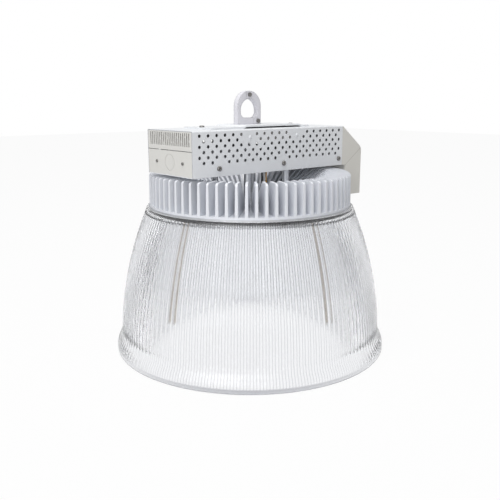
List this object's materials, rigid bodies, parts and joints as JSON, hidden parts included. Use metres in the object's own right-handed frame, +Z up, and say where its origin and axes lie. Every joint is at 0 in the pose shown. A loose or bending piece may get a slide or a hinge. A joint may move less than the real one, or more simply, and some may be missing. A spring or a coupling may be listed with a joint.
{
  "type": "high bay light",
  "caption": "Hanging high bay light: finned round heat sink, perforated driver box with a side arm and lifting eye above, clear prismatic bell reflector below.",
  "frame": {"origin": "on the light's vertical axis, in the plane of the reflector's rim, which is its lowest plane", "axes": "+Z up along the light's axis towards the lifting eye; +X along the driver box towards the side arm; the louvred end faces -X"},
  "size_m": [0.41, 0.41, 0.3807],
  "materials": {
    "powder_coated_steel": "white powder coat, semi-gloss",
    "warm_powder_coat": "off-white powder coat, semi-gloss",
    "cast_aluminium_white": "die-cast, white powder coat",
    "cast_eye": "grey-white coat on a cast eye",
    "clear_acrylic": "clear, prismatic",
    "lens_acrylic": "clear, lightly frosted",
    "aluminium_sheet": "satin",
    "zinc_plated_steel": "zinc plated",
    "white_solder_mask": "white solder mask",
    "led_phosphor": "phosphor under silicone",
    "rubber_black": "matt",
    "silicone_white": "matt",
    "insulation_yellow": "satin",
    "insulation_black": "satin",
    "insulation_white": "satin",
    "nylon_block": "matt"
  },
  "bodies": {
    "root": {"reflector": "clear_acrylic", "reflector_collar": "aluminium_sheet", "reflector_screws": "zinc_plated_steel", "heat_sink": "cast_aluminium_white", "led_board": "white_solder_mask", "leds": "led_phosphor", "board_screws": "zinc_plated_steel", "lens_plate": "lens_acrylic", "lens_gasket": "silicone_white", "lens_frame": "aluminium_sheet", "frame_screws": "zinc_plated_steel", "box_tray": "powder_coated_steel", "box_cover": "powder_coated_steel", "cover_screws": "zinc_plated_steel", "louvred_end_plate": "warm_powder_coat", "access_cover": "warm_powder_coat", "access_screws": "zinc_plated_steel", "arm_housing": "warm_powder_coat", "arm_inner_plate": "warm_powder_coat", "mounting_saddle": "powder_coated_steel", "saddle_screws": "zinc_plated_steel", "bridge_bracket": "zinc_plated_steel", "bridge_rivets": "powder_coated_steel", "eye_hook": "cast_eye", "eye_gate": "cast_eye", "gate_lock_screw": "zinc_plated_steel", "gate_pivot_screw": "zinc_plated_steel", "stem_washer": "zinc_plated_steel", "stem_nut": "zinc_plated_steel", "standoff_front_left": "aluminium_sheet", "standoff_front_right": "aluminium_sheet", "standoff_rear_left": "aluminium_sheet", "standoff_rear_right": "aluminium_sheet", "standoff_screws": "zinc_plated_steel", "led_driver": "aluminium_sheet", "driver_screws": "zinc_plated_steel", "terminal_block": "nylon_block", "surge_arrester": "nylon_block", "tray_grommet": "rubber_black", "hub_grommet": "rubber_black", "yellow_lead": "insulation_yellow", "black_lead": "insulation_black", "white_lead": "insulation_white"}
  },
  "joints": []
}
